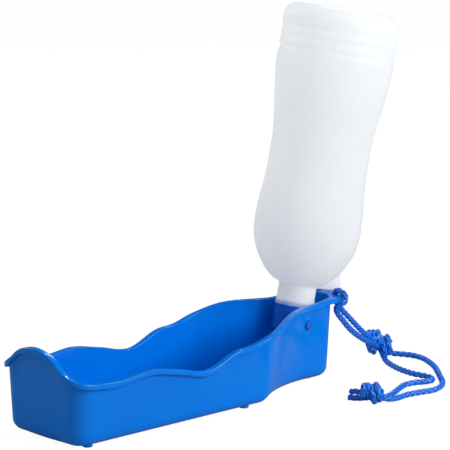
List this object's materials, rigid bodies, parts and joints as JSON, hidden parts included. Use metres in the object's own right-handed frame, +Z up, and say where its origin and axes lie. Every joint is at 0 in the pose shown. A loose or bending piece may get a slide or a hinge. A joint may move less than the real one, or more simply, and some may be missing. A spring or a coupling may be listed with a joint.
{
  "type": "dog travel water bottle",
  "caption": "Squeeze bottle hinged by its cap in the narrow end of a long trough-shaped drinking tray, with a knotted cord loop threaded through the rear ledge.",
  "frame": {"origin": "on the ground under the middle of the tray and bottle's box, on the plane of symmetry", "axes": "+X from the tray's drinking end to its hinge end, +Z up off the ground, +Y to the left of someone facing +X"},
  "size_m": [0.3106, 0.1245, 0.2409],
  "materials": {
    "tray_plastic": "glossy injection-moulded blue polypropylene",
    "cap_plastic": "satin injection-moulded blue polypropylene",
    "collar_plastic": "white injection-moulded polypropylene",
    "silicone": "matt translucent grey silicone",
    "bottle_plastic": "satin blow-moulded natural low-density polyethylene, faintly translucent",
    "cord": "braided blue polypropylene cord"
  },
  "bodies": {
    "tray": {"tray": "tray_plastic", "lanyard_strand_a": "cord", "lanyard_strand_b": "cord", "knot_upper": "cord", "knot_lower": "cord"},
    "hinge_cap": {"hinge_cap": "cap_plastic", "neck_collar": "collar_plastic", "outlet_valve": "silicone"},
    "seal_washer": {"seal_washer": "silicone"},
    "bottle": {"bottle": "bottle_plastic"}
  },
  "joints": [
    {"name": "bottle_fold", "type": "hinge", "parent": "tray", "child": "hinge_cap", "pos_m": [0.067, 0, 0.0385], "axis": [0, -1, 0], "range_deg": [0, 97]},
    {"name": "bottle_turn", "type": "hinge", "parent": "hinge_cap", "child": "seal_washer", "pos_m": [0.067, 0, 0.0385], "axis": [0.2215, 0, 0.9751], "range_deg": [0, 450]},
    {"name": "bottle_rise", "type": "slide", "parent": "seal_washer", "child": "bottle", "axis": [0.2215, 0, 0.9751], "range_m": [0, 0.004]}
  ],
  "couplings": [
    {"joint": "bottle_rise", "follows": "bottle_turn", "m_per_rad": 0.0005093}
  ]
}
